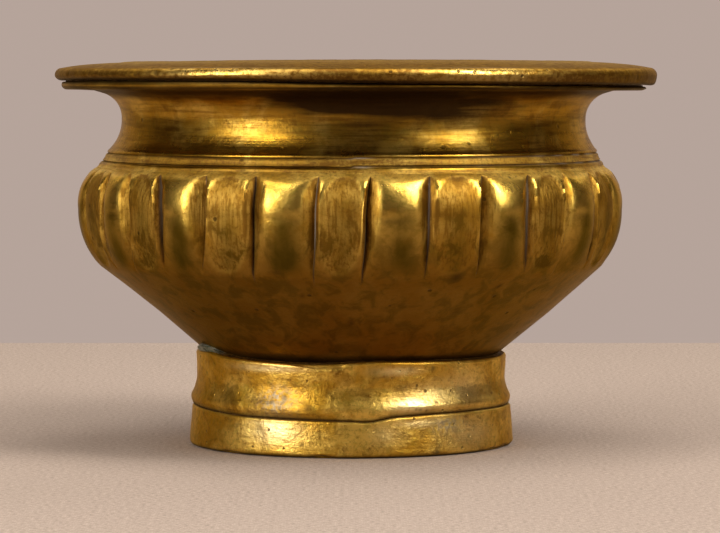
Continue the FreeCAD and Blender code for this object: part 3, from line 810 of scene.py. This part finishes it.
class Surface:
    """The nodes of a material, or of the world, under construction."""

    def __init__(self, owner, place="Object"):
        self.owner = owner
        owner.use_nodes = True
        self.tree = owner.node_tree
        self.tree.nodes.clear()
        self.place = self.node("ShaderNodeTexCoord", output=place)

    def node(self, kind, settings=None, inputs=None, output=0):
        node = self.tree.nodes.new(kind)
        for key, value in (settings or {}).items():
            if key == "stops":
                self.set_stops(node.color_ramp, value)
            else:
                setattr(node, key, value)
        for key, value in (inputs or {}).items():
            if isinstance(value, Value):
                self.tree.links.new(value.socket, node.inputs[key])
            else:
                node.inputs[key].default_value = value
        return Value(self, node.outputs[output])

    @staticmethod
    def set_stops(ramp, stops):
        while len(ramp.elements) < len(stops):
            ramp.elements.new(1.0)
        for element, (position, colour_value) in zip(ramp.elements, stops):
            element.position, element.color = position, (*colour_value, 1.0)

    def along(self, axis):
        """One coordinate of the place."""
        return self.node("ShaderNodeSeparateXYZ", inputs={"Vector": self.place}, output=axis)

    def painted(self, *names):
        """The values painted on the piece under these names."""
        return [self.node("ShaderNodeAttribute", {"attribute_name": name}, output="Fac") for name in names]

    def stretched(self, across, up):
        """Object coordinates scaled by bumps per metre across and up."""
        return self.node("ShaderNodeMapping", inputs={"Vector": self.place, "Scale": (across, across, up)})

    def grain(self, across, up, detail=3.0, roughness=0.55, warp=0.0):
        return self.node("ShaderNodeTexNoise", inputs={
            "Vector": self.stretched(across, up), "Scale": 1.0, "Detail": detail,
            "Roughness": roughness, "Distortion": warp})

    def pits(self, per_metre, size, gap):
        """Small round pits in some of the cells of a grid: 1 in a pit."""
        cells = {"Vector": self.place, "Scale": per_metre}
        near = self.node("ShaderNodeTexVoronoi", inputs=cells)
        pick = self.node("ShaderNodeTexVoronoi", inputs=cells, output="Color")
        chance = self.node("ShaderNodeSeparateColor", inputs={"Color": pick}).step(gap, gap + 0.02)
        return near.step(size, size * 0.5) * chance

    def blend(self, factor, below, above):
        return self.node("ShaderNodeMix", {"data_type": "RGBA"},
                         {0: factor, 6: below, 7: above}, output=2)

    def bump(self, height, depth, under=None):
        """A bump of this depth in metres, laid over another."""
        inputs = {"Height": height, "Strength": 1.0, "Distance": depth}
        if under is not None:
            inputs["Normal"] = under
        return self.node("ShaderNodeBump", inputs=inputs)

    def finish(self, colour_value, roughness, metallic, normal, tint=(0.84, 0.72, 0.50, 1.0)):
        shader = self.node("ShaderNodeBsdfPrincipled", inputs={
            "Base Color": colour_value, "Roughness": roughness, "Metallic": metallic,
            "Normal": normal, "Specular Tint": tint, "IOR": 1.5})
        self.close("ShaderNodeOutputMaterial", shader)
        return self.owner

    def close(self, kind, shader):
        """Lead a shader to the output node."""
        self.tree.links.new(shader.socket, self.tree.nodes.new(kind).inputs["Surface"])


def rgb(value, share=1.0):
    """A colour with its alpha, at a share of its strength."""
    return (*(share * part for part in value), 1.0)


def new_surface(name):
    return Surface(bpy.data.materials.new(name))


def worked_tone(s, colours, bright):
    """Brass between rubbed and worn, with a mottled olive film; bright raises the rubbed share."""
    clouds = s.grain(150, 150, 4.0, 0.6, 0.4)
    mottle = s.grain(700, 900, 4.0, 0.7)
    tone = s.blend((clouds + bright).step(0.62, 0.36), rgb(colours.brass), rgb(colours.worn))
    return s.blend(mottle.step(0.48, 0.66) * 0.5, tone, rgb(colours.olive)), clouds, mottle


def vessel_brass(colours):
    """Turned and filed brass: ring marks on the neck, file strokes in the cuts, brown tarnish and painted
    shade below, and painted shade down the middle of the lobes and on the upper neck.
    """
    s = new_surface("vessel_brass")
    cut, core, panel, land, groove = s.painted("cut", "core", "panel", "land", "groove")
    grime, stain, neck, inner = s.painted("grime", "stain", "neck", "inner")
    underside, band, dusk, chalk = s.painted("underside", "band", "dusk", "chalk")
    rings = s.grain(30, 2200, 3.0, 0.65)
    streaks = s.grain(110, 1500, 4.0, 0.65)
    strokes = s.grain(2400, 130, 3.0, 0.6)
    specks = s.grain(2400, 2400, 3.0, 0.65)
    blotches = s.grain(330, 260, 4.0, 0.65, 0.6)
    filed = cut.largest(panel)

    tone, clouds, mottle = worked_tone(s, colours, land * 0.10 - neck * 0.08)
    brown = cut * 0.62 + panel * 0.62 + neck * (streaks.step(0.42, 0.66) * 0.55 + 0.1) + inner * 0.45
    brown = brown + strokes.step(0.42, 0.75) * filed * 0.4 + specks.step(0.5, 0.75) * 0.22
    brown = brown + band * (specks.step(0.42, 0.66) * 0.35 + 0.1) + blotches.step(0.50, 0.66) * 0.3
    # The underside goes brown, as tarnish and painted shade.
    brown = brown.largest(underside * (specks * 0.14 + 0.82) * (1.0 - panel * 0.25))
    tone = s.blend(brown.smallest(0.94), tone, rgb(colours.brown))
    # The painted dark reflection down the lobes, in olive.
    tone = s.blend(dusk * (blotches * 0.5 + 0.68), tone, rgb(colours.shade))
    # More painted shade in olive blotches on the underside.
    tone = s.blend(underside * blotches.step(0.44, 0.62) * 0.5, tone, rgb(colours.shade))
    dirt_and_shade = core.step(0.2, 0.9) * 0.85
    # The painted grime and shade go on as a dark, streaky film.
    film = grime * (0.60 + streaks * 0.45 + grime * 0.3)
    pits = s.pits(520, 0.22, 0.90)
    dirt_and_shade = dirt_and_shade.largest(groove * 0.75).largest(stain * 0.8)
    dirt_and_shade = dirt_and_shade.largest(film.smallest(0.97)).largest(pits * 0.6)
    tone = s.blend(dirt_and_shade, tone, rgb(colours.dark))
    tone = s.blend(chalk * 0.75, tone, rgb(colours.chalk))

    roughness = 0.22 + clouds * 0.10 + filed * 0.24 + underside * 0.13 + dirt_and_shade * 0.25 + inner * 0.08
    roughness = roughness + band * 0.22 + chalk * 0.2
    metallic = 1.0 - dirt_and_shade * 0.12 - band * 0.45 - chalk * 0.5
    normal = s.bump(rings * (neck * 0.8 + 0.2), 0.00003)
    normal = s.bump(strokes * filed, 0.00009, normal)
    normal = s.bump(mottle + specks * 0.6, 0.00004, normal)
    normal = s.bump(pits, -0.00004, normal)
    return s.finish(tone, roughness, metallic, normal)


def rim_brass(colours):
    """Cast brass, pitted along the bead; where the lights' reflections fall on its crest it is painted
    cleaner and brighter, as a painted highlight, and made smoother.
    """
    s = new_surface("rim_brass")
    pit, grime, top, rubbed = s.painted("pit", "grime", "top", "rubbed")
    tone, clouds, _ = worked_tone(s, colours, top * -0.12)
    specks = s.grain(1300, 1500, 3.0, 0.7)
    fine_pits = s.pits(850, 0.26, 0.80)
    tone = s.blend(top * 0.5, tone, rgb(colours.olive))
    tarnish = specks.step(0.38, 0.64) * 0.5 + clouds.step(0.38, 0.60) * 0.25 + 0.55
    tone = s.blend((tarnish - rubbed * 0.6 - top * 0.5).largest(0.0), tone, rgb(colours.brown))
    # Painted highlight in bright brass on the rubbed patches.
    tone = s.blend(rubbed * (0.2 - specks.step(0.45, 0.65) * 0.2), tone, rgb(colours.bright))
    dull = 1.0 - rubbed.largest(top)
    # Pits, specks and the painted shade on the bead's lower half go dark.
    dirt_and_shade = (pit * 0.7).largest(fine_pits * 0.7).largest(grime * 0.95).largest(specks.step(0.60, 0.72) * 0.5)
    dirt_and_shade = dirt_and_shade.largest(dull * (clouds * 0.5 + 0.06))
    tone = s.blend(dirt_and_shade, tone, rgb(colours.dark))
    roughness = 0.17 + specks * 0.10 + dirt_and_shade * 0.18 + top * 0.16 + dull * 0.16
    normal = s.bump(specks + clouds, 0.00006)
    normal = s.bump(fine_pits, -0.00012, normal)
    return s.finish(tone, roughness, 1.0 - dirt_and_shade * 0.15, normal)


def foot_brass(name, colours, seed):
    """Beaten sheet brass, scratched and finely pitted."""
    s = new_surface(name)
    grime, patch, edge, stain, rubbed = s.painted("grime", "patch", "edge", "stain", "rubbed")
    tone, clouds, _ = worked_tone(s, colours, -0.03)
    specks = s.grain(1500, 1500 + seed, 4.0, 0.7)
    marks = s.grain(300, 1500, 3.0, 0.6)
    blotches = s.grain(260 + seed, 330, 4.0, 0.65, 0.6)
    fine_pits = s.pits(800 + seed, 0.22, 0.82)
    brown = specks.step(0.46, 0.70) * 0.5 + blotches.step(0.50, 0.66) * 0.45 - edge * 0.4 - rubbed * 0.5
    tone = s.blend(brown.largest(0.0), tone, rgb(colours.brown))
    # Painted highlight: bright brass on the rubbed patches.
    tone = s.blend(rubbed * (1.0 - specks.step(0.5, 0.7) * 0.6), tone, rgb(colours.bright))
    tone = s.blend(patch * specks.step(0.35, 0.6) * 0.55, tone, rgb(colours.solder))
    # Grime and painted shade, stains and pits darken the foot.
    dirt_and_shade = (grime * 0.85).largest(stain * 0.8).largest(fine_pits * 0.65)
    tone = s.blend(dirt_and_shade, tone, rgb(colours.dark))
    roughness = 0.29 + clouds * 0.10 + specks * 0.08 + dirt_and_shade * 0.22 + patch * 0.06 - rubbed * 0.08
    normal = s.bump(specks + marks, 0.00007)
    normal = s.bump(blotches, 0.00012, normal)
    normal = s.bump(fine_pits, -0.0001, normal)
    return s.finish(tone, roughness, 1.0 - dirt_and_shade * 0.5, normal)


def soft_solder(colours):
    """Solder, grey where it is bare and dark brown elsewhere; on the foot's fillet the dark brown is
    painted shade in the crease between cone and collar.
    """
    s = new_surface("soft_solder")
    green, bare = s.painted("green", "bare")
    specks = s.grain(1400, 1400, 3.0, 0.6)
    # Painted shade: the solder's brown is darkened, so the fillet reads as the shaded crease.
    brown = s.blend(specks.step(0.35, 0.8) * 0.35 + 0.6, rgb(colours.brown), rgb(colours.dark))
    grey = s.blend(specks.step(0.4, 0.65), rgb(colours.solder), rgb(colours.verdigris))
    grey = s.blend(green.step(0.5, 0.9) * 0.6, grey, rgb(colours.dark))
    tone = s.blend(bare.step(0.15, 0.5), brown, grey)
    normal = s.bump(specks, 0.0004)
    return s.finish(tone, 0.40 + specks * 0.2, 0.8 - green * 0.3, normal)


THREADS_PER_METRE = 1500


def table_cloth(stage):
    """A fine plain weave."""
    s = new_surface("table_cloth")
    wobble = s.grain(300, 300, 2.0, 0.5)
    warp, weft = ((s.along(axis) * (math.tau * THREADS_PER_METRE) + wobble * 5.0).math("SINE")
                  for axis in "XY")
    weave = warp * weft * 0.5 + 0.5
    slub = s.grain(1500, 110, 3.0, 0.65)
    clouds = s.grain(14, 14, 3.0, 0.5)
    tone = s.blend((weave * 0.25 + slub * 0.75).step(0.38, 0.58), rgb(stage.cloth, 0.55), rgb(stage.cloth))
    tone = s.blend(clouds * 0.25, tone, rgb(stage.cloth, 0.85))
    normal = s.bump(weave + slub, 0.00012)
    return s.finish(tone, 0.9, 0.0, normal, (1.0, 1.0, 1.0, 1.0))


def dress(piece, material, node):
    """Give a finished piece its material, and let it stand for its CAD node."""
    piece.data.materials.clear()
    piece.data.materials.append(material)
    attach(piece, "root")
    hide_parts(node)


# ---------------------------------------------------------------- operators

class BOWL_OT_vessel(bpy.types.Operator):
    """Turn the vessel, file its belly and chase its band"""
    bl_idname = "bowl.vessel"
    bl_label = "Vessel"

    def execute(self, context):
        scene = context.scene
        dress(build_shell(scene.bowl_sizes), vessel_brass(scene.bowl_colours), "bowl_shell")
        return {"FINISHED"}


class BOWL_OT_rim(bpy.types.Operator):
    """Lay the beaded ring on the flange, with the solder under it"""
    bl_idname = "bowl.rim"
    bl_label = "Rim"

    def execute(self, context):
        scene = context.scene
        dress(build_rim(scene.bowl_sizes), rim_brass(scene.bowl_colours), "rim_ring")
        dress(build_rim_solder(scene.bowl_sizes), soft_solder(scene.bowl_colours), "rim_solder")
        return {"FINISHED"}


class BOWL_OT_foot(bpy.types.Operator):
    """Make the two hoops of the foot and the solder that joins them"""
    bl_idname = "bowl.foot"
    bl_label = "Foot"

    def execute(self, context):
        sizes, colours = context.scene.bowl_sizes, context.scene.bowl_colours
        dress(build_collar(sizes), foot_brass("collar_brass", colours, 0), "foot_collar")
        dress(build_band(sizes), foot_brass("band_brass", colours, 37), "foot_band")
        dress(build_foot_solder(sizes), soft_solder(colours), "foot_solder")
        dress(build_band_solder(sizes), soft_solder(colours), "band_solder")
        return {"FINISHED"}


# Softboxes: name, turn and height in degrees, distance, width and height in metres, share of the power.
SOFTBOXES = [
    ("left", -49, 32, 0.97, 0.48, 1.28, 0.62),
    ("left_core", -50, 19, 0.95, 0.19, 0.60, 0.42),
    ("left_high", -52, 78, 0.95, 0.34, 0.85, 0.40),
    ("right", 51, 42, 0.97, 0.40, 1.14, 0.86),
    ("right_core", 52, 46, 0.95, 0.16, 0.50, 0.44),
    ("right_high", 52, 78, 0.95, 0.34, 0.85, 0.36),
    ("overhead", 0, 88, 0.9, 0.70, 0.70, 0.16),
    ("rear_left", -140, 45, 1.1, 0.45, 0.60, 0.2),
    ("rear_right", 140, 45, 1.1, 0.45, 0.60, 0.3),
]
AIM_LEVEL = 0.035
TABLE_FAR, TABLE_NEAR, TABLE_SIDE, TABLE_LEVEL = 0.202, 0.70, 0.60, -0.0001
CAMERA_PLACE, CAMERA_DIP = (0.00145, -0.563, 0.05745), 3.114
SENSOR_WIDTH, FOCAL_LENGTH = 36.0, 184.5


def softbox(name, turn, height, distance, wide, tall, power, tint=(1.0, 0.97, 0.92)):
    """A softbox at a turn and a height in degrees from the bowl, aimed at it."""
    aim = Vector((0, 0, AIM_LEVEL))
    a, e = math.radians(turn), math.radians(height)
    offset = Vector((math.sin(a) * math.cos(e), -math.cos(a) * math.cos(e), math.sin(e)))
    lamp = bpy.data.lights.new(name, "AREA")
    lamp.shape, lamp.size, lamp.size_y = "RECTANGLE", wide, tall
    lamp.energy, lamp.color = power, tint
    holder = bpy.data.objects.new(name, lamp)
    holder.location = aim + offset * distance
    holder.rotation_mode = "QUATERNION"
    holder.rotation_quaternion = offset.to_track_quat("Z", "Y")
    holder.visible_camera = False
    bpy.context.scene.collection.objects.link(holder)


# The dim, warm light under the horizon, which the room's wall grades into.
ROOM_DIM = (0.05, 0.035, 0.025)


def room(stage):
    """The room: its wall as seen, and a dim graded light from it on the bowl."""
    world = bpy.data.worlds.new("studio")
    bpy.context.scene.world = world
    s = Surface(world, "Generated")
    stops = [(0.0, ROOM_DIM), (0.45, tuple(1.6 * part for part in ROOM_DIM)),
             (0.75, stage.wall), (1.0, stage.wall)]
    graded = s.node("ShaderNodeValToRGB", {"stops": stops}, {0: s.along("Y")})
    given = s.node("ShaderNodeBackground", inputs={"Color": graded, "Strength": stage.fill})
    seen = s.node("ShaderNodeBackground", inputs={"Color": rgb(stage.wall)})
    ray = s.node("ShaderNodeLightPath", output="Is Camera Ray")
    s.close("ShaderNodeOutputWorld", s.node("ShaderNodeMixShader", inputs={0: ray, 1: given, 2: seen}))


class BOWL_OT_stage(bpy.types.Operator):
    """Set the table, the lights and the camera"""
    bl_idname = "bowl.stage"
    bl_label = "Stage"

    def execute(self, context):
        stage = context.scene.bowl_stage
        bpy.ops.object.select_all(action="DESELECT")
        bpy.ops.mesh.primitive_plane_add(size=1.0)
        floor = context.object
        floor.name = floor.data.name = "table_top"
        floor.data.transform(floor.matrix_world.inverted())
        for vertex in floor.data.vertices:
            x = TABLE_SIDE if vertex.co.x > 0 else -TABLE_SIDE
            y = TABLE_FAR if vertex.co.y > 0 else -TABLE_NEAR
            vertex.co = (x, y, TABLE_LEVEL)
        floor.data.materials.append(table_cloth(stage))
        room(stage)
        for name, turn, height, distance, wide, tall, share in SOFTBOXES:
            softbox("softbox_" + name, turn, height, distance, wide, tall, stage.key_power * share)
        lens = bpy.data.cameras.new("camera")
        lens.sensor_width, lens.lens = SENSOR_WIDTH, FOCAL_LENGTH
        camera = bpy.data.objects.new("camera", lens)
        camera.location = CAMERA_PLACE
        camera.rotation_euler = (math.radians(90 - CAMERA_DIP), 0, 0)
        context.scene.collection.objects.link(camera)
        context.scene.camera = camera
        context.scene.view_settings.view_transform = "Standard"
        return {"FINISHED"}


class BOWL_PT_panel(bpy.types.Panel):
    """The bowl's pieces and settings"""
    bl_idname = "BOWL_PT_panel"
    bl_label = "Shaving Bowl"
    bl_space_type = "VIEW_3D"
    bl_region_type = "UI"
    bl_category = "Bowl"

    def draw(self, context):
        layout = self.layout
        for operator in OPERATORS:
            layout.operator(operator.bl_idname)
        for group in ("bowl_sizes", "bowl_colours", "bowl_stage"):
            settings = getattr(context.scene, group)
            box = layout.box()
            for name in settings.__annotations__:
                box.prop(settings, name)


OPERATORS = (BOWL_OT_vessel, BOWL_OT_rim, BOWL_OT_foot, BOWL_OT_stage)
CLASSES = (BowlSizes, BowlColours, StageSettings, *OPERATORS, BOWL_PT_panel)


def register():
    for item in CLASSES:
        bpy.utils.register_class(item)
    bpy.types.Scene.bowl_sizes = PointerProperty(type=BowlSizes)
    bpy.types.Scene.bowl_colours = PointerProperty(type=BowlColours)
    bpy.types.Scene.bowl_stage = PointerProperty(type=StageSettings)


def unregister():
    del bpy.types.Scene.bowl_stage, bpy.types.Scene.bowl_colours, bpy.types.Scene.bowl_sizes
    for item in reversed(CLASSES):
        bpy.utils.unregister_class(item)


def main():
    register()
    bpy.ops.bowl.vessel()
    bpy.ops.bowl.rim()
    bpy.ops.bowl.foot()
    bpy.ops.bowl.stage()


if __name__ == "__main__":
    main()
